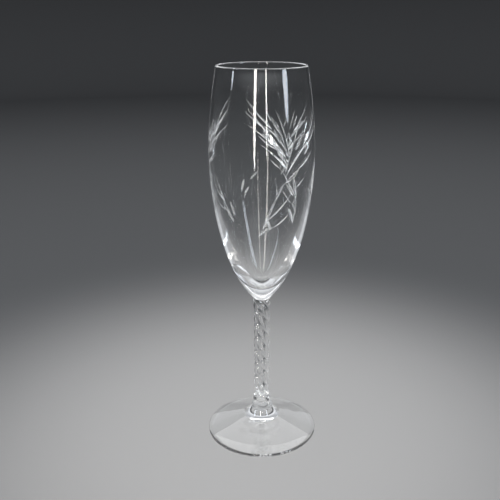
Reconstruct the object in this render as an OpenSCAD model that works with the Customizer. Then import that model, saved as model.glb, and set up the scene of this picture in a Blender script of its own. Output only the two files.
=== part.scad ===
// Cut-crystal champagne flute: a blown bowl, a twisted fluted stem, a collar and a foot,
// four pieces of glass welded hot, end to end, on one upright axis.
// Frame: millimetres, +Z up, origin on the table under the centre of the foot.

/* [Bowl] */
// Height of the bowl, from its weld on the stem to the lip
bowl_h = 129; // [105:1:160]
// Outside diameter of the mouth
mouth_d = 48; // [40:0.5:56]
// Outside diameter at the belly, the widest place
belly_d = 56.8; // [47:0.2:68]
// Height of the belly above the weld
belly_z = 82.6; // [68:0.2:99.4]
// Diameter of the bowl's base where it is welded to the stem
base_d = 9.6; // [8:0.1:11.6]
// Thickness of the wall at the lip
lip_wall = 1.3; // [1:0.05:1.8]
// Thickness of the wall at the belly
belly_wall = 1.6; // [1.2:0.05:2.2]
// Thickness of the solid glass under the drink
bottom_wall = 9.2; // [7:0.1:11]
// Angle at which the bowl leaves the stem, above the horizontal
spread_angle = 46; // [38:0.5:55]

/* [Stem] */
// Length of the twisted stem
stem_h = 62.6; // [45:0.2:90]
// Diameter over the ridges along the shank
shank_d = 9.3; // [8.5:0.1:11.2]
// Diameter of the swelling under the bowl
head_d = 10.2; // [9.6:0.1:12.2]
// Diameter of the waist above the collar
waist_d = 8; // [6.5:0.1:9.6]
// Number of flutes round the stem
flutes = 6; // [4:1:8]
// Turns that each ridge makes over the stem, rising to the left
turns = 1.23; // [0.5:0.01:2]
// Depth of a flute, as a share of the ridge radius
flute_depth = 0.25; // [0.1:0.01:0.3]

/* [Collar] */
// Height of the collar
collar_h = 9.1; // [7:0.1:12]
// Radius of the rounded shoulder round the stem's lower end
shoulder_roll = 0.8; // [0.6:0.05:1]
// Largest diameter of the collar, just above the foot
collar_d = 12.6; // [11.4:0.1:15.2]
// Radius of the rolled edge at the collar's bottom
collar_roll = 0.6; // [0.4:0.1:0.9]

/* [Foot] */
// Diameter of the foot
foot_d = 64.8; // [54:0.2:78]
// Height of the foot, from the table to the collar
foot_h = 14.3; // [12:0.1:18]
// Angle at which the flare leaves the collar, below the horizontal
flare_angle = 52; // [46:1:58]
// Diameter where the flare runs out into the cone of the foot
flare_d = 22.4; // [21:0.2:27]
// Height of the cone where the flare meets it
cone_h = 9.4; // [8:0.1:10.6]
// Thickness of the foot's edge
edge_t = 2; // [1.7:0.1:2.6]
// Width of the flat ring that stands on the table
ring_w = 1.6; // [1.2:0.1:2.4]
// Height of the hollow under the middle of the foot
hollow_h = 4.6; // [3:0.1:5.4]

/* [Hidden] */
$fn = 96;

glass_clear = [0.88, 0.93, 0.95, 0.45];
curve_steps = 16;
ring_points = 4 * flutes;
ring_count = 46;

collar_z = foot_h;
stem_z = collar_z + collar_h;
bowl_z = stem_z + stem_h;

// A point of the cubic curve that leaves p0 towards p1 and reaches p3 from p2
function cubic(p0, p1, p2, p3, t) =
    pow(1 - t, 3) * p0 + 3 * pow(1 - t, 2) * t * p1 + 3 * (1 - t) * t * t * p2 + pow(t, 3) * p3;
// The curve's points, from its start to one step before its end
function curve(p0, p1, p2, p3, steps = curve_steps) =
    [for (i = [0:steps - 1]) cubic(p0, p1, p2, p3, i / steps)];
// Points of an arc round c, from angle a to angle b
function arc(c, r, a, b, steps = 6) =
    [for (i = [0:steps]) c + r * [cos(a + (b - a) * i / steps), sin(a + (b - a) * i / steps)]];
// 0 below 0, 1 above 1, and an S-shaped rise between
function smooth(t) = let (u = min(max(t, 0), 1)) u * u * (3 - 2 * u);

// ---- Bowl: one lathe outline, up the outside, over the lip and down the inside ----
// Each reach is how far a curve keeps its end's direction, as a share of that curve's height
spread_reach = 0.3;
belly_reach = 0.32;
shoulder_reach = 0.49;
lip_reach = 0.045;
inner_belly_reach = 0.4;
inner_floor_reach = 0.45;

mouth_r = mouth_d / 2;
belly_r = belly_d / 2;
base_r = base_d / 2;
lip_r = lip_wall / 2;
lip_z = bowl_h - lip_r;
above_belly = bowl_h - belly_z;

// Outside of the bowl from its base to the lip
function bowl_outside() = concat(
    curve([base_r, 0], [base_r, 0] + spread_reach * belly_z * [cos(spread_angle), sin(spread_angle)],
          [belly_r, (1 - belly_reach) * belly_z], [belly_r, belly_z]),
    curve([belly_r, belly_z], [belly_r, belly_z + shoulder_reach * above_belly],
          [mouth_r, lip_z - lip_reach * above_belly], [mouth_r, lip_z]));
// Inside of the bowl from the lip down to the solid glass on the axis
function bowl_inside() = let (mouth = mouth_r - lip_wall, belly = belly_r - belly_wall) concat(
    curve([mouth, lip_z], [mouth, lip_z - lip_reach * above_belly],
          [belly, belly_z + shoulder_reach * above_belly], [belly, belly_z]),
    curve([belly, belly_z], [belly, (1 - inner_belly_reach) * belly_z],
          [inner_floor_reach * belly, bottom_wall], [0, bottom_wall]));

module bowl() {
    lip = arc([mouth_r - lip_r, lip_z], lip_r, 0, 180);
    inside = bowl_inside();
    color(glass_clear) translate([0, 0, bowl_z]) rotate_extrude()
        polygon(concat([[0, 0]], bowl_outside(), lip, [for (i = [1:len(inside) - 1]) inside[i]],
                       [[0, bottom_wall]]));
}

// ---- Stem: one fluted section, turned and resized ring by ring ----
shank_r = shank_d / 2;
head_r = head_d / 2;
waist_r = waist_d / 2;
waist_l = 0.12 * stem_h;
head_l = 0.1 * stem_h;
tuck_l = 0.035 * stem_h;

// Radius over the ridges at height z: waist, shank, swelling, then tucked in to the bowl's base
function ridge_r(z) =
    z > stem_h - tuck_l
        ? base_r + (head_r - base_r) * sqrt(1 - pow(1 - (stem_h - z) / tuck_l, 2))
        : waist_r + (shank_r - waist_r) * smooth(z / waist_l)
            + (head_r - shank_r) * smooth((z - stem_h + tuck_l + head_l) / head_l);
// How far the flutes are cut at height z: not at all at the two welds
function flute_share(z) = smooth(z / (0.6 * waist_l)) * smooth((stem_h - z) / (1.4 * tuck_l));
// Distance from the axis: s runs from -1 on one ridge, over 0 in the flute, to 1 on the next
function flute_r(z, s) = ridge_r(z) * (1 - flute_depth * flute_share(z) * (1 - pow(abs(s), 1.7)));
function stem_point(z, i) =
    let (share = i * flutes / ring_points,
         s = 2 * (share - floor(share)) - 1,
         a = 360 * (i / ring_points - turns * z / stem_h),
         r = flute_r(z, s))
    [r * cos(a), r * sin(a), z];
// Ring heights, closer together at both ends where the section changes
function ring_z(k) = stem_h * (k / ring_count - 0.08 * sin(720 * k / ring_count) / 2);

module stem() {
    rings = [for (k = [0:ring_count], i = [0:ring_points - 1]) stem_point(ring_z(k), i)];
    walls = [for (k = [0:ring_count - 1], i = [0:ring_points - 1])
        let (a = k * ring_points, b = a + ring_points, j = (i + 1) % ring_points)
        each [[a + i, b + i, b + j], [a + i, b + j, a + j]]];
    bottom = [[for (i = [0:ring_points - 1]) i]];
    top = [[for (i = [ring_points - 1:-1:0]) ring_count * ring_points + i]];
    color(glass_clear) translate([0, 0, stem_z]) polyhedron(rings, concat(walls, bottom, top));
}

// ---- Collar: a short tapered button with a rolled lower edge ----
// Angle in the outline where each rounded edge meets the tapered side
taper = atan2(collar_d / 2 - waist_r - shoulder_roll, collar_h);

module collar() {
    skirt = [collar_d / 2 - collar_roll, collar_roll];
    shoulder = [waist_r, collar_h - shoulder_roll];
    color(glass_clear) translate([0, 0, collar_z]) rotate_extrude()
        polygon(concat([[0, 0]], arc(skirt, collar_roll, -90, taper),
                       arc(shoulder, shoulder_roll, taper, 90), [[0, collar_h]]));
}

// ---- Foot: a low cone with a flared neck, a rounded edge and a hollow underside ----
foot_r = foot_d / 2;
neck_r = collar_d / 2 - collar_roll;
flare_r = flare_d / 2;
edge_r = edge_t / 2;
ring_in = foot_r - edge_r - ring_w;
// How far the flare keeps the direction it leaves the collar in, as a share of its height, and
// the direction of the cone, as a share of its width
flare_reach = 0.55;
cone_reach = 0.35;
// Where the hollow levels out under the middle, as a share of the foot's radius
hollow_reach = 0.35;

module foot() {
    cone = atan2(cone_h - edge_t, foot_r - edge_r - flare_r);
    drop = flare_reach * (foot_h - cone_h);
    run = cone_reach * (flare_r - neck_r);
    flare = curve([neck_r, foot_h], [neck_r + drop / tan(flare_angle), foot_h - drop],
                  [flare_r - run, cone_h + run * tan(cone)], [flare_r, cone_h], 10);
    edge = arc([foot_r - edge_r, edge_r], edge_r, 90 - cone, -90);
    hollow = curve([ring_in, 0], [ring_in - edge_t, edge_r], [hollow_reach * foot_r, hollow_h],
                   [0, hollow_h], 12);
    color(glass_clear) rotate_extrude()
        polygon(concat([[0, foot_h]], flare, [[flare_r, cone_h]], edge, hollow, [[0, hollow_h]]));
}

bowl();
stem();
collar();
foot();
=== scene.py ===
# %% [markdown]
# # A cut-crystal champagne flute
# Real crystal stemware is made hot, in four pieces: a blown bowl, a drawn and twisted stem, a
# short collar and a pressed foot, welded end to end. When it is cold, a cutter grinds leaf
# sprays into the bowl with a V-edged stone wheel. This lesson follows the same order.
#
# The construction model is loaded first. It fixes the sizes and places of the four pieces,
# which are built where that frame says. The cuts, the dents and waves in the glass, the paper,
# the lights and the camera aren't in it, and their values are given here.

# %% Load the frame
import math

import bpy
import numpy as np
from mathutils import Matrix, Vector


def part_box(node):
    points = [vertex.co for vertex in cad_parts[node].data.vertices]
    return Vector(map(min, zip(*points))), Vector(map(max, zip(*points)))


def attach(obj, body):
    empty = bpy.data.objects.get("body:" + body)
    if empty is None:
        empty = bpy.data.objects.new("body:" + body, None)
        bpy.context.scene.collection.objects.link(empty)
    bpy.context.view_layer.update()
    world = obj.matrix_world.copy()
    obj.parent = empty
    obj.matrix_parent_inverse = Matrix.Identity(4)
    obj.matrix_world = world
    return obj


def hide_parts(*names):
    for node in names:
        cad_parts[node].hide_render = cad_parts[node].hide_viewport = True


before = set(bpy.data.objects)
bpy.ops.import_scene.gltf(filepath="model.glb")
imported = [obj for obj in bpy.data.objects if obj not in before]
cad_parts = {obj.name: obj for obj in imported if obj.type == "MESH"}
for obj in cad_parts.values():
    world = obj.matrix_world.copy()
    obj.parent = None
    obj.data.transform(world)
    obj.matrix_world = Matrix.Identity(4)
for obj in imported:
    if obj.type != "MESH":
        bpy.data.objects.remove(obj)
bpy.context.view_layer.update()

print("frame nodes:", sorted(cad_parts))

# %% [markdown]
# Blender measures in metres, and a glassmaker thinks in millimetres. One constant turns one
# into the other. The four pieces stack on one upright axis, so the frame's boxes give all the
# heights where they are welded together.

# %% Sizes taken from the frame
MM = 0.001
foot_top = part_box("foot")[1].z
collar_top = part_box("collar")[1].z
stem_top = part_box("stem")[1].z
lip_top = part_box("bowl")[1].z
foot_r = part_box("foot")[1].x
belly_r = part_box("bowl")[1].x
bowl_h = lip_top - stem_top
stem_h = stem_top - collar_top
print(f"welds at {foot_top:.4f}, {collar_top:.4f} and {stem_top:.4f} m, lip at {lip_top:.4f} m")

# %% [markdown]
# Where two pieces are welded, the glass is one body, and light passes the weld without
# bending. Two closed meshes that only touch would leave a film of air between them, and that
# film would mirror. A tiny overlap lets each ray enter the next piece before it leaves the
# last one, so the weld disappears.

# %% Overlap at the welds
WELD = 0.05 * MM
print(f"overlap at a weld: {WELD / MM} mm")

# %% [markdown]
# ## Outlines
# Everything turned or blown on an axis is a lathe shape: one outline, as pairs of radius and
# height, swept round. The outlines use two kinds of stretch, a cubic curve for what flowed
# hot and an arc for what was rounded in the fire.

# %% Curve and arc helpers
def cubic(p0, p1, p2, p3, steps):
    """Points of the curve that leaves p0 towards p1 and reaches p3 from p2."""
    t = np.linspace(0, 1, steps + 1)[:, None]
    p0, p1, p2, p3 = (np.array(p, float) for p in (p0, p1, p2, p3))
    return (1 - t) ** 3 * p0 + 3 * (1 - t) ** 2 * t * p1 + 3 * (1 - t) * t**2 * p2 + t**3 * p3


def arc(centre, radius, start, end, steps):
    """Points of an arc, with its angles in degrees."""
    a = np.radians(np.linspace(start, end, steps + 1))
    return np.array(centre) + radius * np.column_stack([np.cos(a), np.sin(a)])


def line(start, end, steps):
    """Evenly spaced points from start to end."""
    t = np.linspace(0, 1, steps + 1)[:, None]
    return (1 - t) * np.array(start, float) + t * np.array(end, float)


def joined(*stretches):
    """One outline from stretches that each start where the last one ended."""
    kept = [stretches[0]] + [s[1:] for s in stretches[1:]]
    return np.vstack(kept)


quarter = arc((0, 0), 1, 0, 90, 2)
print("a quarter circle in two steps:", quarter.round(3).tolist())

# %% [markdown]
# The lathe itself is short in plain mesh code. An outline that starts and ends on the axis
# closes the piece with one point at each end, so there is no hole and no doubled edge.
# Blender could do this with its Screw modifier too, but code keeps the poles clean and says
# exactly which way the faces point.

# %% The lathe
def lathe(name, outline, around):
    """A closed mesh from an outline that runs from the axis, round the piece and back to it."""
    rings = outline[1:-1]
    a = 2 * math.pi * np.arange(around) / around
    ring_points = np.stack(
        [
            rings[:, 0, None] * np.sin(a),
            -rings[:, 0, None] * np.cos(a),
            np.repeat(rings[:, 1, None], around, axis=1),
        ],
        axis=-1,
    ).reshape(-1, 3)
    first = len(ring_points)
    points = np.vstack([ring_points, [[0, 0, outline[0, 1]]], [[0, 0, outline[-1, 1]]]])
    faces = []
    for k in range(len(rings) - 1):
        for i in range(around):
            j = (i + 1) % around
            low, high = k * around, (k + 1) * around
            faces.append((low + i, low + j, high + j, high + i))
    last = (len(rings) - 1) * around
    for i in range(around):
        j = (i + 1) % around
        faces.append((first, j, i))
        faces.append((first + 1, last + i, last + j))
    mesh = bpy.data.meshes.new(name)
    mesh.from_pydata(points.tolist(), [], faces)
    mesh.update()
    return mesh


# %% [markdown]
# A mesh is only a shape. To be seen it needs an object in the scene, and a material for each
# number that its faces carry.

# %% Putting a piece in the scene
def add_piece(name, mesh, *materials):
    """An object that shows a finished mesh, with these materials added to the mesh's own."""
    for material in materials:
        mesh.materials.append(material)
    piece = bpy.data.objects.new(name, mesh)
    bpy.context.scene.collection.objects.link(piece)
    print(name, "has", len(mesh.polygons), "faces and the materials", mesh.materials.keys())
    return piece


# %% [markdown]
# ## The crystal
# Crystal is clear glass with a high index of refraction, about 1.545, so it bends light more
# than window glass and its edges sparkle. A perfect glass shader looks like a computer's
# glass, because real glass is never quite even. Two faint things are added. Blown glass has
# long, shallow streaks along the way it was stretched, which a bump made from a stretched
# noise gives. And handled glass has a faint haze in places, which a little roughness gives.

# %% Shader helpers
def new_material(name):
    """A material with a Principled shader, its node tree and that shader."""
    material = bpy.data.materials.new(name)
    material.use_nodes = True
    tree = material.node_tree
    shader = tree.nodes["Principled BSDF"]
    return material, tree, shader


def object_noise(tree, stretch, scale, detail):
    """A noise pattern in the object's own space, stretched by its three factors."""
    place = tree.nodes.new("ShaderNodeTexCoord")
    mapping = tree.nodes.new("ShaderNodeMapping")
    mapping.inputs["Scale"].default_value = stretch
    noise = tree.nodes.new("ShaderNodeTexNoise")
    noise.inputs["Scale"].default_value = scale
    noise.inputs["Detail"].default_value = detail
    tree.links.new(place.outputs["Object"], mapping.inputs["Vector"])
    tree.links.new(mapping.outputs["Vector"], noise.inputs["Vector"])
    return noise.outputs["Fac"]


def spread(tree, value, low, high, to_low, to_high):
    """Maps a value from one range to another, smoothly and without overshoot."""
    node = tree.nodes.new("ShaderNodeMapRange")
    node.interpolation_type = "SMOOTHSTEP"
    node.inputs["From Min"].default_value = low
    node.inputs["From Max"].default_value = high
    node.inputs["To Min"].default_value = to_low
    node.inputs["To Max"].default_value = to_high
    tree.links.new(value, node.inputs["Value"])
    return node.outputs["Result"]


# %% [markdown]
# One recipe serves all four kinds of surface. Blown glass is streaked along the bowl, drawn
# glass a little along the stem, and pressed glass is uneven in every direction. The cuts are
# the exception. A stone leaves them ground, so they are satin, with a far finer grain and much
# more roughness, and they glow where the skin beside them stays clear.

# %% The crystal of each piece
CRYSTAL_IOR = 1.545
HAZE_SCALE = 70
HAZE_FROM = 0.5
HAZE_FULL = 0.72


def crystal(name, tint, stretch, wave_scale, wave_height, haze, haze_most):
    """Crystal with streaks wave_height metres high, and a haze that grows to haze_most."""
    material, tree, shader = new_material(name)
    shader.inputs["Base Color"].default_value = (*tint, 1)
    shader.inputs["Transmission Weight"].default_value = 1
    shader.inputs["IOR"].default_value = CRYSTAL_IOR
    wave = object_noise(tree, stretch, wave_scale, detail=2)
    bump = tree.nodes.new("ShaderNodeBump")
    bump.inputs["Strength"].default_value = 1
    bump.inputs["Distance"].default_value = wave_height
    tree.links.new(wave, bump.inputs["Height"])
    tree.links.new(bump.outputs["Normal"], shader.inputs["Normal"])
    marks = object_noise(tree, (1, 1, 1), HAZE_SCALE, detail=4)
    roughness = spread(tree, marks, HAZE_FROM, HAZE_FULL, haze, haze_most)
    tree.links.new(roughness, shader.inputs["Roughness"])
    return material


blown_crystal = crystal(
    "blown crystal", tint=(0.99, 0.995, 0.993), stretch=(1, 1, 0.05), wave_scale=240,
    wave_height=0.018 * MM, haze=0.0, haze_most=0.03,
)
drawn_crystal = crystal(
    "drawn crystal", tint=(0.985, 0.992, 0.99), stretch=(1, 1, 0.3), wave_scale=200,
    wave_height=0.015 * MM, haze=0.0, haze_most=0.02,
)
pressed_crystal = crystal(
    "pressed crystal", tint=(0.985, 0.992, 0.99), stretch=(1, 1, 1), wave_scale=90,
    wave_height=0.015 * MM, haze=0.0, haze_most=0.04,
)
ground_crystal = crystal(
    "ground crystal", tint=(0.99, 0.995, 0.995), stretch=(1, 1, 1), wave_scale=2500,
    wave_height=0.001 * MM, haze=0.24, haze_most=0.45,
)
print("materials:", [m.name for m in bpy.data.materials])

# %% [markdown]
# ## The uncut bowl
# The bowl swells from its weld to a belly and draws in again to the mouth, like a tulip bud.
# Its wall is 1.3 mm at the lip, 1.6 mm at the belly and much thicker below, where the glass
# stayed when it was blown. The lip is a half round, because the rim is melted smooth after
# the top is cracked off. Each reach says how far a curve keeps the direction of its end, as a
# share of that curve's height.

# %% The bowl's sizes
mouth_r = 24 * MM
base_r = 4.8 * MM
belly_z = 82.6 * MM
lip_wall = 1.3 * MM
belly_wall = 1.6 * MM
floor_wall = 9.2 * MM
spread_angle = math.radians(46)
above_belly = bowl_h - belly_z
lip_z = bowl_h - lip_wall / 2
print(f"mouth {2 * mouth_r / MM:.1f} mm and belly {2 * belly_r / MM:.1f} mm across")

# %% [markdown]
# The outside leaves the stem at an angle, and stands upright at the belly and again at the
# lip. The inside follows it down the wall, and ends flat over the solid bottom.

# %% The bowl's outline
SPREAD_REACH = 0.3
BELLY_REACH = 0.32
SHOULDER_REACH = 0.49
LIP_REACH = 0.045
INNER_BELLY_REACH = 0.4
INNER_FLOOR_REACH = 0.45
shoulder_z = belly_z + SHOULDER_REACH * above_belly
under_lip_z = lip_z - LIP_REACH * above_belly


def bowl_outside():
    """The bowl's outside from its base to the lip, as radius and height above the weld."""
    start = np.array([base_r, 0])
    reach = SPREAD_REACH * belly_z * np.array([math.cos(spread_angle), math.sin(spread_angle)])
    under_belly = (belly_r, (1 - BELLY_REACH) * belly_z)
    widest = (belly_r, belly_z)
    lower = cubic(start, start + reach, under_belly, widest, 72)
    upper = cubic(widest, (belly_r, shoulder_z), (mouth_r, under_lip_z), (mouth_r, lip_z), 44)
    return joined(lower, upper)


def bowl_inside():
    """The bowl's inside from the lip to the solid glass on the axis."""
    mouth = mouth_r - lip_wall
    belly = belly_r - belly_wall
    upper = cubic((mouth, lip_z), (mouth, under_lip_z), (belly, shoulder_z), (belly, belly_z), 40)
    under_belly = (belly, (1 - INNER_BELLY_REACH) * belly_z)
    level = (INNER_FLOOR_REACH * belly, floor_wall)
    lower = cubic((belly, belly_z), under_belly, level, (0, floor_wall), 64)
    return joined(upper, lower)


def bowl_outline():
    """The whole outline, from the axis at the weld, up the outside and down the inside."""
    lip = arc((mouth_r - lip_wall / 2, lip_z), lip_wall / 2, 0, 180, 12)
    outline = joined(line((0, 0), (base_r, 0), 4), bowl_outside(), lip, bowl_inside())
    return outline + np.array([0, stem_top])


BOWL_AROUND = 224
uncut_mesh = lathe("uncut_bowl", bowl_outline(), BOWL_AROUND)
print("uncut bowl:", len(uncut_mesh.vertices), "points,", len(uncut_mesh.polygons), "faces")

# %% [markdown]
# ## The cuts
# A cutter holds the bowl against a turning stone with a V edge. Where the stone first
# touches, the cut is a hair, then it grows deeper and wider, and it ends in a point again.
# So each cut is a leaf: a long thin blade, or a short fat one that cutters call an olive.
#
# To carve such a cut, a stone is modelled as a wedge that follows a bent line over the
# bowl. Its edge lies below the skin by the cut's depth, and just above the skin at both
# ends. Subtracting the wedge leaves a true groove with two ground faces, which catches
# light as a painted line never could.

# %% Places on the bowl's skin
outside_rz = bowl_outside()


def skin(angle, height):
    """Points and outward normals on the bowl, for angles in degrees and heights in metres."""
    r = np.interp(height, outside_rz[:, 1], outside_rz[:, 0])
    slope = np.gradient(outside_rz[:, 0], outside_rz[:, 1])
    lean = np.interp(height, outside_rz[:, 1], slope)
    a = np.radians(angle)
    out = np.column_stack([np.sin(a), -np.cos(a), np.zeros_like(a)])
    points = out * r[:, None] + np.array([0, 0, 1]) * (height + stem_top)[:, None]
    normals = out - np.array([0, 0, 1]) * lean[:, None]
    return points, normals / np.linalg.norm(normals, axis=1)[:, None]


front, facing = skin(np.array([0.0]), np.array([belly_z]))
print("the belly's front is at", front[0].round(4), "and faces", facing[0].round(2))

# %% [markdown]
# A pass over the stone is a line from a root to a tip that bows a little to one side. At each
# of its steps the wedge is a small triangle: one corner sunk into the glass, and two standing
# off it. A power of the share of the way makes the cut deepest at its widest place.

# %% One stone's path as a wedge
WEDGE_STEPS = 30
WEDGE_RISE = 0.5 * MM
WEDGE_START = 0.1 * MM


def wedge(root, tip, bow, depth, widest, v_angle, taper):
    """Points and faces of a wedge. Its root and tip are degrees round and mm above the weld."""
    t = np.linspace(0, 1, WEDGE_STEPS + 1)
    angle = root[0] + (tip[0] - root[0]) * t
    height = root[1] + (tip[1] - root[1]) * t
    round_mm = math.radians(1) * belly_r / MM
    across = np.array([(root[1] - tip[1]), (tip[0] - root[0]) * round_mm])
    across = across / np.linalg.norm(across) * bow
    bulge = 4 * t * (1 - t)
    angle = angle + bulge * across[0] / round_mm
    height = (height + bulge * across[1]) * MM
    points, normals = skin(angle, height)
    along = np.gradient(points, axis=0)
    side = np.cross(normals, along)
    side /= np.linalg.norm(side, axis=1)[:, None]
    power = widest / (1 - widest)
    shape = t**power * (1 - t)
    shape = shape / (widest**power * (1 - widest))
    sunk = (depth * MM + WEDGE_START) * shape**taper - WEDGE_START
    half = (sunk + WEDGE_RISE) * math.tan(math.radians(v_angle / 2))
    edge = points - normals * sunk[:, None]
    left = points + normals * WEDGE_RISE + side * half[:, None]
    right = points + normals * WEDGE_RISE - side * half[:, None]
    corners = np.stack([edge, right, left], axis=1).reshape(-1, 3)
    faces = [(0, 2, 1)]
    for k in range(WEDGE_STEPS):
        low, high = 3 * k, 3 * k + 3
        for i in range(3):
            j = (i + 1) % 3
            faces.append((low + i, low + j, high + j, high + i))
    end = 3 * WEDGE_STEPS
    faces.append((end, end + 1, end + 2))
    return corners, faces


print("a wedge has", 3 * (WEDGE_STEPS + 1), "points")

# %% [markdown]
# One spray is a bent stalk that leans as it climbs, with blades that fan out of it to both
# sides and olives tucked in between. Each row below is one pass over the stone: where it
# starts, where it ends, how far it bows sideways, how deep it goes and where it is widest.
# Places are degrees round the bowl and millimetres above the weld. Each of the two stones
# has the angle of its edge, and how fast its cuts taper: high for hair-thin ends.
#
# The rows copy the spray of a real glass cut by cut. Their places were measured on it and
# rounded, their depths were chosen one by one, and no rule makes them.

# %% The cuts of one spray
LONG_STONE = (100, 1.25)
OLIVE_STONE = (124, 0.85)

BLADES = [
    # root, tip, bow, depth, widest
    ((26, 86), (-21, 113), -0.8, 0.46, 0.32),
    ((26, 86), (-22, 105), -1.2, 0.40, 0.30),
    ((26, 81), (-6, 95), -0.6, 0.34, 0.35),
    ((25, 91), (13, 106), -0.3, 0.34, 0.40),
    ((23, 75), (46, 105), 1.2, 0.42, 0.45),
    ((22, 72), (61, 94), 3.0, 0.50, 0.55),
    ((49, 92), (85, 112), -0.6, 0.40, 0.35),
    ((48, 89), (86, 104), -0.6, 0.38, 0.35),
    ((38, 79), (67, 89), -0.8, 0.42, 0.45),
    ((-6, 41), (24, 77), -0.4, 0.50, 0.50),
    ((2, 52), (38, 71), -1.2, 0.40, 0.45),
    ((12, 49), (33, 57), -0.6, 0.36, 0.45),
    ((36, 69), (51, 75), -0.4, 0.32, 0.45),
    ((47, 94), (58, 104), 0.3, 0.34, 0.50),
    ((38, 48), (43, 63), 0.5, 0.34, 0.50),
]
OLIVES = [
    ((17, 92), (-1, 99), -0.4, 0.50, 0.45),
    ((19, 93), (12, 101), -0.3, 0.44, 0.50),
    ((33, 93), (29, 99), 0.2, 0.36, 0.50),
    ((29, 86), (25, 91), 0.2, 0.40, 0.50),
    ((27, 82), (22, 88), 0.2, 0.40, 0.50),
    ((27, 80), (16, 86), -0.3, 0.44, 0.50),
    ((36, 89), (49, 99), -0.5, 0.54, 0.50),
    ((47, 91), (58, 98), -0.3, 0.46, 0.50),
    ((49, 86), (60, 91), 0.3, 0.42, 0.50),
    ((24, 73), (42, 80), -0.7, 0.62, 0.50),
    ((25, 73), (36, 65), 0.4, 0.46, 0.50),
    ((34, 75), (37, 67), 0.3, 0.40, 0.50),
    ((28, 61), (40, 49), 0.4, 0.44, 0.50),
    ((-5, 44), (14, 50), 0.5, 0.52, 0.50),
    ((5, 55), (10, 48), 0.2, 0.38, 0.50),
    ((65, 67), (75, 62), 0.3, 0.44, 0.50),
    ((83, 63), (88, 55), 0.2, 0.42, 0.50),
    ((77, 58), (86, 51), 0.3, 0.42, 0.50),
]


def spray_mesh():
    """All wedges of one spray as one mesh of separate closed shells."""
    rows = [(*row, *LONG_STONE) for row in BLADES] + [(*row, *OLIVE_STONE) for row in OLIVES]
    points, faces = [], []
    for row in rows:
        corners, shell = wedge(*row)
        start = len(points)
        points += corners.tolist()
        faces += [tuple(start + i for i in face) for face in shell]
    mesh = bpy.data.meshes.new("spray")
    mesh.from_pydata(points, [], faces)
    mesh.materials.append(ground_crystal)
    mesh.update()
    return mesh


spray = bpy.data.objects.new("spray", spray_mesh())
bpy.context.scene.collection.objects.link(spray)
print("one spray:", len(BLADES), "blades and", len(OLIVES), "olives")

# %% [markdown]
# ## Carving with Geometry Nodes
# The spray is carved three times, a third of a turn apart. Geometry Nodes suit this well:
# the wedges become instances, the instances are repeated round the axis, and one Mesh
# Boolean node subtracts them all. The Manifold solver is fast and gives a closed result.
# Splitting the spray into its islands first matters, because wedges cross each other, and
# the solver treats each instance as a body of its own.

# %% Node tree helpers
def new_tree(name, inputs):
    """A geometry node tree with a Geometry output and named inputs: (name, type, value)."""
    tree = bpy.data.node_groups.new(name, "GeometryNodeTree")
    tree.interface.new_socket("Geometry", in_out="OUTPUT", socket_type="NodeSocketGeometry")
    tree.interface.new_socket("Geometry", in_out="INPUT", socket_type="NodeSocketGeometry")
    for label, kind, value in inputs:
        socket = tree.interface.new_socket(label, in_out="INPUT", socket_type="NodeSocket" + kind)
        if value is not None:
            socket.default_value = value
    entry = tree.nodes.new("NodeGroupInput")
    leave = tree.nodes.new("NodeGroupOutput")
    return tree, entry.outputs, leave.inputs


def put(tree, kind, inputs=None, **settings):
    """Adds a node, sets its settings, and feeds its inputs with sockets or plain values."""
    node = tree.nodes.new(kind)
    for name, value in settings.items():
        setattr(node, name, value)
    for key, value in (inputs or {}).items():
        socket = node.inputs[key]
        if isinstance(value, bpy.types.NodeSocket):
            tree.links.new(value, socket)
        else:
            socket.default_value = value
    return node


def set_inputs(modifier, values):
    """Sets a modifier's inputs by their labels, through the identifiers that it needs."""
    for item in modifier.node_group.interface.items_tree:
        if item.in_out == "INPUT" and item.name in values:
            modifier[item.identifier] = values[item.name]


# %% [markdown]
# A tree runs as a modifier on an object. Here each tree runs just once: its result is copied
# into a plain mesh, and the object that carried the modifier is thrown away.

# %% Running a tree once
def grown(name, mesh, tree, values):
    """Runs a tree on a mesh once and returns the plain mesh that it makes."""
    holder = bpy.data.objects.new(name + "_seed", mesh)
    bpy.context.scene.collection.objects.link(holder)
    modifier = holder.modifiers.new(name, "NODES")
    modifier.node_group = tree
    set_inputs(modifier, values)
    bpy.context.view_layer.update()
    evaluated = holder.evaluated_get(bpy.context.evaluated_depsgraph_get())
    result = bpy.data.meshes.new_from_object(evaluated)
    result.name = name
    bpy.data.objects.remove(holder)
    print(f"{name} grew from the tree '{tree.name}' of {len(tree.nodes)} nodes")
    return result


# %% [markdown]
# The first half of the tree marks every face of the wedges as ground, and sets the spray on
# as many points as there are sprays. All the points lie on the axis, and each one's number
# gives its turn.

# %% The carving tree: repeat the spray
carving, given, out = new_tree(
    "carve sprays",
    [
        ("Spray", "Object", None),
        ("Sprays round the bowl", "Int", 3),
        ("Turn of the first spray", "Float", 0.0),
        ("Crystal", "Material", None),
        ("Ground crystal", "Material", None),
    ],
)
spray_info = put(carving, "GeometryNodeObjectInfo", {"Object": given["Spray"]})
wedges = put(carving, "GeometryNodeStoreNamedAttribute",
             {"Geometry": spray_info.outputs["Geometry"], "Name": "ground", "Value": True},
             data_type="BOOLEAN", domain="FACE")
places = put(carving, "GeometryNodeMeshLine",
             {"Count": given["Sprays round the bowl"], "Offset": (0, 0, 0)})
index = put(carving, "GeometryNodeInputIndex")
share = put(carving, "ShaderNodeMath", {0: index.outputs[0], 1: given["Sprays round the bowl"]},
            operation="DIVIDE")
turn = put(carving, "ShaderNodeMath",
           {0: share.outputs[0], 1: 2 * math.pi, 2: given["Turn of the first spray"]},
           operation="MULTIPLY_ADD")
rotation = put(carving, "ShaderNodeCombineXYZ", {"Z": turn.outputs[0]})
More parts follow.
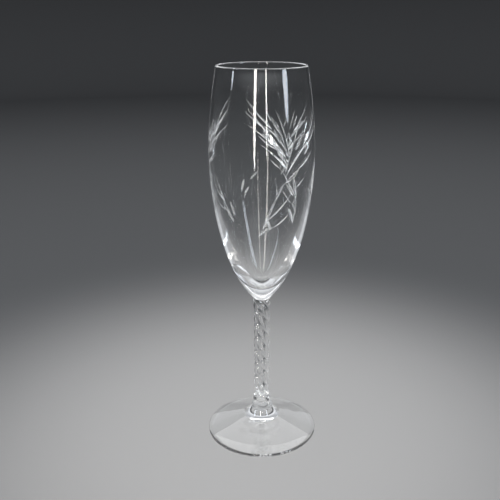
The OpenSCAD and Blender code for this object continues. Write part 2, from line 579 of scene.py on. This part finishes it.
repeated = put(carving, "GeometryNodeInstanceOnPoints",
               {"Points": places.outputs["Mesh"], "Instance": wedges.outputs["Geometry"],
                "Rotation": rotation.outputs["Vector"]})
all_wedges = put(carving, "GeometryNodeRealizeInstances",
                 {"Geometry": repeated.outputs["Instances"]})
print("nodes so far:", len(carving.nodes))

# %% [markdown]
# The second half splits the wedges into single stones, subtracts them from the bowl, and
# gives the glass its materials. The mark on the wedges has passed to the faces that they cut,
# so it picks those out.

# %% The carving tree: subtract the stones
island = put(carving, "GeometryNodeInputMeshIsland")
stones = put(carving, "GeometryNodeSplitToInstances",
             {"Geometry": all_wedges.outputs["Geometry"], "Group ID": island.outputs["Island Index"]})
carved = put(carving, "GeometryNodeMeshBoolean", {"Mesh 1": given["Geometry"]},
             operation="DIFFERENCE", solver="MANIFOLD")
carving.links.new(stones.outputs["Instances"], carved.inputs["Mesh 2"])
plain = put(carving, "GeometryNodeRealizeInstances", {"Geometry": carved.outputs["Mesh"]})
all_crystal = put(carving, "GeometryNodeSetMaterial",
                  {"Geometry": plain.outputs["Geometry"], "Material": given["Crystal"]})
is_ground = put(carving, "GeometryNodeInputNamedAttribute", {"Name": "ground"}, data_type="BOOLEAN")
cut_faces = put(carving, "GeometryNodeSetMaterial",
                {"Geometry": all_crystal.outputs["Geometry"], "Material": given["Ground crystal"],
                 "Selection": is_ground.outputs["Attribute"]})
carving.links.new(cut_faces.outputs["Geometry"], out["Geometry"])
print("nodes in all:", len(carving.nodes))

# %% [markdown]
# The tree may leave the mesh with more material slots than it needs, in an order of its own.
# So the slots are written again: the clear crystal is 0 and the ground crystal is 1.

# %% Carve the bowl
bowl_mesh = grown("bowl_crystal", uncut_mesh, carving,
                  {"Spray": spray, "Crystal": blown_crystal, "Ground crystal": ground_crystal})
bpy.data.objects.remove(spray)


def keep_slots(mesh, *materials):
    """Gives the mesh just these materials, in this order, with each face on its own one."""
    old = list(mesh.materials)
    wanted = [materials.index(old[face.material_index]) for face in mesh.polygons]
    mesh.materials.clear()
    for material in materials:
        mesh.materials.append(material)
    mesh.polygons.foreach_set("material_index", wanted)


keep_slots(bowl_mesh, blown_crystal, ground_crystal)
ground_faces = sum(face.material_index == 1 for face in bowl_mesh.polygons)
print("carved bowl:", len(bowl_mesh.polygons), "faces,", ground_faces, "of them ground")

# %% [markdown]
# Glass shows every fault in its shading, because it bends what is behind it by its normals.
# The carving has left long thin faces on the skin, and normals averaged over those would
# ripple. The bowl is a lathe shape, so the true normal is known everywhere: it is the
# outline's own. The skin's corners get that one, and the ground faces keep theirs, which
# break sharply at every edge that the stone left.

# %% True normals for the bowl
SKIN_AGREES = 0.9
CUT_CREASE = 30
FINE_STEP = 0.1 * MM


def smooth_but_creased(mesh, crease):
    """Smooth shading that breaks at edges sharper than crease degrees."""
    mesh.polygons.foreach_set("use_smooth", [True] * len(mesh.polygons))
    mesh.set_sharp_from_angle(angle=math.radians(crease))


def lathe_normals(points, outline):
    """For each point, the normal of the lathe shape at the nearest place of its outline."""
    travel = np.gradient(outline, axis=0)
    travel /= np.linalg.norm(travel, axis=1)[:, None]
    r = np.hypot(points[:, 0], points[:, 1])
    nearest = np.array([
        np.argmin((outline[:, 0] - a) ** 2 + (outline[:, 1] - b) ** 2)
        for a, b in zip(r, points[:, 2])
    ])
    away = points[:, :2] / np.maximum(r, 1e-9)[:, None]
    return np.column_stack([away * travel[nearest, 1, None], -travel[nearest, 0]])


def true_normals(mesh, outline, crease):
    """Outline normals on the skin (material 0), and normals that break past crease elsewhere."""
    smooth_but_creased(mesh, crease)
    count = len(mesh.loops)
    normals = np.array([n.vector for n in mesh.corner_normals]).reshape(count, 3)
    points = np.array([v.co for v in mesh.vertices])
    corner_point = np.empty(count, int)
    mesh.loops.foreach_get("vertex_index", corner_point)
    sizes = [face.loop_total for face in mesh.polygons]
    skin_corner = np.repeat([face.material_index == 0 for face in mesh.polygons], sizes)
    face_normal = np.repeat([list(face.normal) for face in mesh.polygons], sizes, axis=0)

    lathe_normal = lathe_normals(points, outline)[corner_point]
    agrees = np.einsum("ij,ij->i", lathe_normal, face_normal) > SKIN_AGREES
    lathe_normal = np.where(agrees[:, None], lathe_normal, face_normal)
    normals[skin_corner] = lathe_normal[skin_corner]
    mesh.normals_split_custom_set(normals.tolist())
    print(f"true normals on {np.mean(skin_corner):.0%} of the corners")


def fine(outline, spacing):
    """The same outline with points no further apart than spacing."""
    pairs = list(zip(outline, outline[1:]))
    steps = [max(1, math.ceil(np.linalg.norm(b - a) / spacing)) for a, b in pairs]
    return joined(*(line(a, b, n) for (a, b), n in zip(pairs, steps)))


true_normals(bowl_mesh, fine(bowl_outline(), FINE_STEP), CUT_CREASE)
bowl = add_piece("bowl_crystal", bowl_mesh)

# %% [markdown]
# ## The twisted stem
# The stem is drawn from a gather of glass that a mould has pressed into flutes, and turned
# while it is soft, so each ridge climbs as a helix. Its radius follows a rule: a waist above
# the collar, an even shank, a swelling under the bowl, and a quick tuck into the weld. A rule
# like this is what Geometry Nodes are good at. A plain cylinder goes in, and each point is
# moved by its height and its angle, with every size as a named input.

# %% The stem's sizes
FLUTES = 6
TURNS = 1.23
waist_r = 4 * MM
STEM_SIZES = {
    "Length": stem_h + 2 * WELD,
    "Bottom": collar_top - WELD,
    "Waist radius": waist_r,
    "Shank radius": 4.65 * MM,
    "Head radius": 5.1 * MM,
    "Weld radius": base_r,
    "Waist length": 0.12 * stem_h,
    "Head length": 0.1 * stem_h,
    "Tuck length": 0.035 * stem_h,
    "Flutes": float(FLUTES),
    "Flute depth": 0.25,
    "Turns": TURNS,
}
print(FLUTES, "flutes make", TURNS, f"turns over {stem_h / MM:.1f} mm")

# %% [markdown]
# The tree gets an input for each of these sizes, and one for how finely the cylinder is
# divided round and up. Most of its nodes do arithmetic, so two helpers keep that readable.

# %% The stem tree
stem_tree, given, out = new_tree(
    "twisted stem",
    [(label, "Float", value) for label, value in STEM_SIZES.items()]
    + [("Steps round", "Int", 96), ("Steps up", "Int", 200), ("Crystal", "Material", None)],
)


def maths(operation, *values):
    """A Math node in the stem's tree, fed with sockets or numbers."""
    return put(stem_tree, "ShaderNodeMath", dict(enumerate(values)), operation=operation).outputs[0]


def eased(value, length):
    """Rises from 0 at 0 to 1 at length, in an S."""
    ratio = maths("DIVIDE", value, length)
    step = put(stem_tree, "ShaderNodeMapRange", {"Value": ratio}, interpolation_type="SMOOTHSTEP")
    return step.outputs[0]


print("the stem's inputs:", [socket.name for socket in given if socket.name])

# %% [markdown]
# First the tree measures each point: its height above the bottom, the height left above it,
# and where it lies between two ridges, from 0 in the bottom of a flute to 1 on a ridge.

# %% Measure the stem's points
rod = put(stem_tree, "GeometryNodeMeshCylinder",
          {"Vertices": given["Steps round"], "Side Segments": given["Steps up"], "Radius": 1.0,
           "Depth": given["Length"]})
place = put(stem_tree, "ShaderNodeSeparateXYZ",
            {0: put(stem_tree, "GeometryNodeInputPosition").outputs[0]}).outputs
up = maths("MULTIPLY_ADD", given["Length"], 0.5, place["Z"])
left_over = maths("SUBTRACT", given["Length"], up)
angle = maths("ARCTAN2", place["Y"], place["X"])
share = maths("FRACT", maths("MULTIPLY", maths("DIVIDE", angle, 2 * math.pi), given["Flutes"]))
ridge_share = maths("ABSOLUTE", maths("MULTIPLY_ADD", share, 2.0, -1.0))
print("nodes so far:", len(stem_tree.nodes))

# %% [markdown]
# Then it gives each point its radius. A flute is a hollow with a soft crest between it and
# the next: a power of the share makes the hollow, and a much higher power, taken away and
# scaled back, rounds the crest off. The flutes fade out at both welds, where they melt.

# %% Shape the flutes
HOLLOW_POWER = 1.7
CREST_POWER = 8.0
CREST_SHARE = HOLLOW_POWER / CREST_POWER

hollow = maths("POWER", ridge_share, HOLLOW_POWER)
crest = maths("MULTIPLY", maths("POWER", ridge_share, CREST_POWER), CREST_SHARE)
wall = maths("DIVIDE", maths("SUBTRACT", hollow, crest), 1 - CREST_SHARE)
fade = maths("MULTIPLY", eased(up, maths("MULTIPLY", given["Waist length"], 0.6)),
             eased(left_over, maths("MULTIPLY", given["Tuck length"], 1.4)))
cut_in = maths("MULTIPLY", maths("MULTIPLY", fade, given["Flute depth"]),
               maths("SUBTRACT", 1.0, wall))
print("nodes so far:", len(stem_tree.nodes))

# %% [markdown]
# The radius over the ridges is built up from the bottom: waist, shank, swelling. Close to the
# bowl, what stands out past the weld follows a quarter circle, which tucks the swelling in.

# %% Shape the ridges
shank = maths("MULTIPLY_ADD", maths("SUBTRACT", given["Shank radius"], given["Waist radius"]),
              eased(up, given["Waist length"]), given["Waist radius"])
to_head = maths("SUBTRACT", 1.0, eased(maths("SUBTRACT", left_over, given["Tuck length"]),
                                       given["Head length"]))
swelling = maths("MULTIPLY", maths("SUBTRACT", given["Head radius"], given["Shank radius"]), to_head)
full = maths("ADD", shank, swelling)
tuck = maths("SUBTRACT", 1.0, maths("MINIMUM", maths("DIVIDE", left_over, given["Tuck length"]), 1.0))
round_off = maths("SQRT", maths("SUBTRACT", 1.0, maths("MULTIPLY", tuck, tuck)))
ridge = maths("MULTIPLY_ADD", maths("SUBTRACT", full, given["Weld radius"]), round_off,
              given["Weld radius"])
radius = maths("MULTIPLY", ridge, maths("SUBTRACT", 1.0, cut_in))
print("nodes so far:", len(stem_tree.nodes))

# %% [markdown]
# Last, each point is turned in step with its height and put at its radius. The turn is taken
# away from the angle, so the ridges rise to the left.

# %% Twist the stem
climb = maths("MULTIPLY", maths("DIVIDE", up, given["Length"]),
              maths("MULTIPLY", given["Turns"], 2 * math.pi))
turned = maths("SUBTRACT", angle, climb)
moved = put(stem_tree, "ShaderNodeCombineXYZ",
            {"X": maths("MULTIPLY", radius, maths("COSINE", turned)),
             "Y": maths("MULTIPLY", radius, maths("SINE", turned)),
             "Z": maths("ADD", up, given["Bottom"])})
shaped = put(stem_tree, "GeometryNodeSetPosition",
             {"Geometry": rod.outputs["Mesh"], "Position": moved.outputs["Vector"]})
plain = put(stem_tree, "GeometryNodeRealizeInstances", {"Geometry": shaped.outputs["Geometry"]})
finished = put(stem_tree, "GeometryNodeSetMaterial",
               {"Geometry": plain.outputs["Geometry"], "Material": given["Crystal"]})
stem_tree.links.new(finished.outputs["Geometry"], out["Geometry"])
print("nodes in all:", len(stem_tree.nodes))

# %% [markdown]
# The tree makes its own cylinder, so an empty mesh is enough to carry it. The crease keeps the
# two flat ends sharp, while the flutes shade smoothly.

# %% Grow the stem
CREASE = 50
stem_mesh = grown("stem_crystal", bpy.data.meshes.new("stem_seed"), stem_tree,
                  {**STEM_SIZES, "Crystal": drawn_crystal})
keep_slots(stem_mesh, drawn_crystal)
smooth_but_creased(stem_mesh, CREASE)
stem = add_piece("stem_crystal", stem_mesh)

# %% [markdown]
# ## The collar
# A small button of glass hides the weld between stem and foot. It is a cone with a rounded
# shoulder at the top and a rolled edge at the bottom, so a short lathe outline makes it.

# %% The collar
collar_h = collar_top - foot_top
collar_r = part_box("collar")[1].x
collar_roll = 0.6 * MM
shoulder_roll = 0.8 * MM
neck_r = collar_r - collar_roll


def collar_outline():
    """The collar from the axis underneath, up its side and back to the axis."""
    taper = math.degrees(math.atan2(collar_r - waist_r - shoulder_roll, collar_h))
    skirt = arc((neck_r, collar_roll), collar_roll, -90, taper, 14)
    shoulder = arc((waist_r, collar_h - shoulder_roll), shoulder_roll, taper, 90, 12)
    under = line((0, 0), skirt[0], 4)
    side = line(skirt[-1], shoulder[0], 16)
    top = line(shoulder[-1], (0, collar_h), 4)
    return joined(under, skirt, side, shoulder, top) + np.array([0, foot_top])


COLLAR_AROUND = 192
collar_mesh = lathe("collar_crystal", collar_outline(), COLLAR_AROUND)
print(f"collar: {collar_h / MM:.1f} mm high and {2 * collar_r / MM:.1f} mm across")

# %% [markdown]
# The stem is pushed into the collar while both are soft, so the ends of its flutes stay in
# the collar's side as faint dents. They turn at the same pace as the flutes above them and
# fade out on the way down.

# %% Dents that the flutes leave
DENT_DEPTH = 0.09
DENT_LENGTH = 0.75 * collar_h


def dented(mesh):
    """Presses the ends of the stem's flutes into the collar's upper part."""
    for point in mesh.vertices:
        above = point.co.z - foot_top
        share = min(max((above - collar_h + DENT_LENGTH) / DENT_LENGTH, 0), 1)
        a = math.atan2(point.co.y, point.co.x) + 2 * math.pi * TURNS * (above - collar_h) / stem_h
        swell = share * math.sin(math.pi * share) ** 0.5
        dent = DENT_DEPTH * swell * (0.5 - 0.5 * math.cos(FLUTES * a))
        point.co.x *= 1 - dent
        point.co.y *= 1 - dent


dented(collar_mesh)
smooth_but_creased(collar_mesh, CREASE)
collar = add_piece("collar_crystal", collar_mesh, pressed_crystal)

# %% [markdown]
# ## The foot
# The foot is pressed as a low cone with a flared neck, and is hollow underneath, so that it
# stands on a narrow ring and never rocks. Its edge is rounded in the fire, which makes it a
# bright bead. The tools that spread the hot foot leave it slightly wavy, and the waves are
# real shape here, because they bend what is seen through the foot.

# %% The foot
flare_angle = math.radians(52)
flare_r = 11.2 * MM
cone_z = 9.4 * MM
edge_r = 1 * MM
ring_w = 1.6 * MM
ring_in = foot_r - edge_r - ring_w
hollow_z = 4.6 * MM
FLARE_REACH = 0.55
CONE_REACH = 0.35
HOLLOW_REACH = 0.35


def foot_outline():
    """The foot from the axis in the hollow, round the edge and up to the neck."""
    slope = math.atan2(cone_z - 2 * edge_r, foot_r - edge_r - flare_r)
    run = CONE_REACH * (flare_r - neck_r)
    drop = FLARE_REACH * (foot_top - cone_z)
    hollow = cubic((0, hollow_z), (HOLLOW_REACH * foot_r, hollow_z), (ring_in - 2 * edge_r, edge_r),
                   (ring_in, 0), 56)
    edge = arc((foot_r - edge_r, edge_r), edge_r, -90, 90 - math.degrees(slope), 20)
    cone = line(edge[-1], (flare_r, cone_z), 44)
    flare = cubic((flare_r, cone_z), (flare_r - run, cone_z + run * math.tan(slope)),
                  (neck_r + drop / math.tan(flare_angle), foot_top - drop), (neck_r, foot_top), 28)
    return joined(hollow, line((ring_in, 0), edge[0], 4), edge, cone, flare,
                  line((neck_r, foot_top), (neck_r, foot_top + WELD), 1),
                  line((neck_r, foot_top + WELD), (0, foot_top + WELD), 3))


FOOT_AROUND = 224
foot_mesh = lathe("foot_crystal", foot_outline(), FOOT_AROUND)
print(f"the foot stands on a ring {2 * ring_in / MM:.1f} mm across inside and {ring_w / MM} mm wide")

# %% [markdown]
# The waves are a few slow swings round the foot, fading out towards the neck and the edge,
# so that the ring still stands flat.

# %% Tool marks on the foot
WAVES = [
    # swings round, swings out, height in mm, start in degrees
    (3, 1.5, 0.025, 20),
    (5, 2.5, 0.010, 130),
    (2, 4.0, 0.008, 250),
]


def swing(angle, span):
    """Height of the waves in mm, at an angle and a share of the way from neck to ring."""
    return sum(
        height * math.cos(round_it * angle + 2 * math.pi * outward * span + math.radians(start))
        for round_it, outward, height, start in WAVES
    )


def worked_by_hand(mesh):
    """Adds the slow waves to the foot's upper and under side."""
    for point in mesh.vertices:
        r = math.hypot(point.co.x, point.co.y)
        span = (r - neck_r) / (ring_in - neck_r)
        if 0 < span < 1:
            fade = math.sin(math.pi * span) ** 2
            point.co.z += fade * swing(math.atan2(point.co.y, point.co.x), span) * MM


worked_by_hand(foot_mesh)
smooth_but_creased(foot_mesh, CREASE)
foot = add_piece("foot_crystal", foot_mesh, pressed_crystal)

# %% [markdown]
# ## Tie the pieces to the frame
# Nothing on a glass moves, so all four pieces ride on the one body. Each stands for the
# construction piece of its name. Clear glass hardly throws a shadow: most of the light that
# meets it goes on to the table. Following that light through the glass would take thousands
# of samples, so the light from the lamps and the light that the paper gathers from all
# round both pass the pieces as if they were not there.

# %% Bodies and nodes
for piece, node, slot in (
    (bowl, "bowl", "blown_crystal"),
    (stem, "stem", "drawn_crystal"),
    (collar, "collar", "pressed_crystal"),
    (foot, "foot", "pressed_crystal"),
):
    piece.visible_shadow = False
    piece.visible_diffuse = False
    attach(piece, "root")
    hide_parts(node)
    print(piece.name, "stands for", node, "with the finish", slot)

# %% [markdown]
# ## The studio
# Glass has no colour of its own: it shows what stands round it. Here it stands on paper
# whose colour is painted pale under the glass and grey further off, a painted pool of light
# round it. The foot then stands on a pale ground, while the bowl is seen against grey, where
# each cut and each edge that bends light in from a bright side draws itself as a pale line. The
# paper here is round and curves up into a low wall, so that it looks the same from every side.

# %% The paper, with a painted pool of light
PAPER_FLAT = 1.7
PAPER_BEND = 0.3
PAPER_TOP = 0.4
PAPER_SHEET = 0.02
# PALE paints the pool of light under the glass, and GREY the paper beyond it.
PALE = (0.34, 0.337, 0.333, 1)
GREY = (0.08, 0.082, 0.085, 1)
GREY_FROM = 0.36


def paper_outline():
    """The paper from the axis underneath, round its top and back over the floor."""
    wall = PAPER_FLAT + PAPER_BEND
    back = wall + PAPER_SHEET
    bend = arc((PAPER_FLAT, PAPER_BEND), PAPER_BEND, 0, -90, 16)
    under = line((0, -PAPER_SHEET), (back, -PAPER_SHEET), 2)
    outer = line(under[-1], (back, PAPER_TOP), 2)
    top = line(outer[-1], (wall, PAPER_TOP), 1)
    inner = line(top[-1], bend[0], 2)
    return joined(under, outer, top, inner, bend, line(bend[-1], (0, 0), 8))


def paper_material():
    """Matt paper, painted pale in the middle and grey far off as a pool of light round the glass."""
    material, tree, shader = new_material("paper with a painted pool of light")
    shader.inputs["Roughness"].default_value = 0.9
    shader.inputs["Specular IOR Level"].default_value = 0.1
    place = tree.nodes.new("ShaderNodeTexCoord")
    away = tree.nodes.new("ShaderNodeVectorMath")
    away.operation = "LENGTH"
    tree.links.new(place.outputs["Object"], away.inputs[0])
    # The colour is painted: pale under the glass and grey far off, as a pool of light round it.
    ramp = tree.nodes.new("ShaderNodeValToRGB")
    ramp.color_ramp.interpolation = "EASE"
    ramp.color_ramp.elements[0].color = PALE
    ramp.color_ramp.elements[1].color = GREY
    graded = spread(tree, away.outputs["Value"], 0.0, GREY_FROM, 0.0, 1.0)
    tree.links.new(graded, ramp.inputs["Fac"])
    tree.links.new(ramp.outputs["Color"], shader.inputs["Base Color"])
    return material


PAPER_AROUND = 96
PAPER_CREASE = 40
paper_mesh = lathe("paper", paper_outline(), PAPER_AROUND)
smooth_but_creased(paper_mesh, PAPER_CREASE)
paper = add_piece("paper", paper_mesh, paper_material())

# %% [markdown]
# The light is a soft sky. It is grey down at the paper's wall, so the wall has no hard top,
# bright just above it and calmer overhead. A cut bends the view by twenty degrees or so,
# which is enough to reach the bright part: that is what makes the cuts shine.

# %% The sky
SKY = [
    # height as the sine of its angle, colour
    (0.15, (0.12, 0.12, 0.13)),
    (0.23, (1.45, 1.49, 1.55)),
    (0.36, (1.45, 1.49, 1.55)),
    (0.52, (0.80, 0.82, 0.86)),
    (0.85, (0.35, 0.36, 0.38)),
]


def soft_sky(stops):
    """A world with a colour at each height, and soft grades between them."""
    world = bpy.data.worlds.new("soft sky")
    world.use_nodes = True
    tree = world.node_tree
    place = tree.nodes.new("ShaderNodeTexCoord")
    parts = tree.nodes.new("ShaderNodeSeparateXYZ")
    tree.links.new(place.outputs["Generated"], parts.inputs["Vector"])
    ramp = tree.nodes.new("ShaderNodeValToRGB")
    ramp.color_ramp.interpolation = "EASE"
    while len(ramp.color_ramp.elements) < len(stops):
        ramp.color_ramp.elements.new(0.5)
    for element, (height, colour) in zip(ramp.color_ramp.elements, stops):
        element.position = height
        element.color = (*colour, 1)
    tree.links.new(parts.outputs["Z"], ramp.inputs["Fac"])
    tree.links.new(ramp.outputs["Color"], tree.nodes["Background"].inputs["Color"])
    return world


bpy.context.scene.world = soft_sky(SKY)
brightest = max(SKY, key=lambda stop: stop[1][1])[0]
print(f"the sky is brightest from {math.degrees(math.asin(brightest)):.0f} degrees up")

# %% [markdown]
# A few tall soft panels stand round the glass, where windows would be. The bowl mirrors them
# as upright bright lines, and their oval shape makes those lines taper. Two of them are warm
# and two are cool, like sun and shade through the windows of a room.

# %% Panels
WARM = (1.0, 0.96, 0.91)
COOL = (0.84, 0.90, 1.0)
WHITE = (1, 1, 1)


def soft_light(name, shape, width, height, watts, colour):
    """An area light that the camera doesn't see, though the glass mirrors it."""
    data = bpy.data.lights.new(name, "AREA")
    data.shape = shape
    data.size = width
    data.size_y = height
    data.energy = watts
    data.color = colour
    light = bpy.data.objects.new(name, data)
    light.visible_camera = False
    bpy.context.scene.collection.objects.link(light)
    print(f"{name}: {width} by {height:.2f} m, {watts} W")
    return light


def panel(name, side, distance, low, high, width, watts, colour):
    """An upright oval panel facing the glass, side degrees right of the viewer's side."""
    light = soft_light(name, "ELLIPSE", width, high - low, watts, colour)
    a = math.radians(side)
    light.location = (distance * math.sin(a), -distance * math.cos(a), (low + high) / 2)
    light.rotation_euler = (math.radians(90), 0, a)


panel("left_window", side=-15, distance=0.55, low=0.03, high=0.9, width=0.05, watts=5, colour=WARM)
panel("right_window", side=10, distance=0.55, low=0.08, high=0.9, width=0.025, watts=1.8, colour=WARM)
panel("side_window", side=56, distance=0.8, low=0.2, high=0.9, width=0.2, watts=5, colour=COOL)
panel("far_window", side=-73, distance=0.8, low=0.3, high=0.9, width=0.12, watts=4, colour=COOL)

# %% [markdown]
# One wide softbox hangs high behind the glass and looks down past it. The front of the sloping
# foot mirrors it as a smooth pale veil, and it lights most of the paper.

# %% Softbox
softbox = soft_light("softbox", "RECTANGLE", 1.7, 0.85, 12.5, WHITE)
softbox.location = (0, 0.465, 0.997)
softbox.rotation_euler = (math.radians(-25), 0, 0)

# %% [markdown]
# The camera stands close, a little above the rim, so the mouth and the foot show as
# ellipses of quite different roundness.

# %% Camera
lens = bpy.data.cameras.new("camera")
lens.lens = 49.6
lens.sensor_width = 36
lens.shift_x = -0.0236
camera = bpy.data.objects.new("camera", lens)
camera.location = (0, -0.3643, 0.2426)
camera.rotation_euler = (math.radians(70.62), 0, 0)
bpy.context.scene.collection.objects.link(camera)
bpy.context.scene.camera = camera
reach = math.dist(camera.location, (0, 0, lip_top))
print(f"the camera stands {reach:.3f} m from the middle of the mouth")

# %% [markdown]
# Highlights on glass should be crisp and white. Blender's film-like view turns them grey to
# keep detail in them, so the plain view is used here, with the exposure a little down.

# %% View
view = bpy.context.scene.view_settings
view.view_transform = "Standard"
view.exposure = -0.75
print("view:", view.view_transform, "with exposure", view.exposure)

# %% [markdown]
# Light that enters the bowl's wall at a flat angle is caught in it, and bounces on between its
# two faces a hundred times before it leaves. That is why the outline of a real glass is a
# pale line. Paths need as many bounces here: with fewer they give up inside the wall, and the
# outline turns black. Since the pieces let the light through to the paper, caustics would
# count it twice, and they are off.

# %% Light paths
BOUNCES = 128
cycles = bpy.context.scene.cycles
cycles.max_bounces = BOUNCES
cycles.transmission_bounces = BOUNCES
cycles.glossy_bounces = BOUNCES
cycles.caustics_refractive = False
cycles.caustics_reflective = False
print("a path may bounce", cycles.max_bounces, "times")
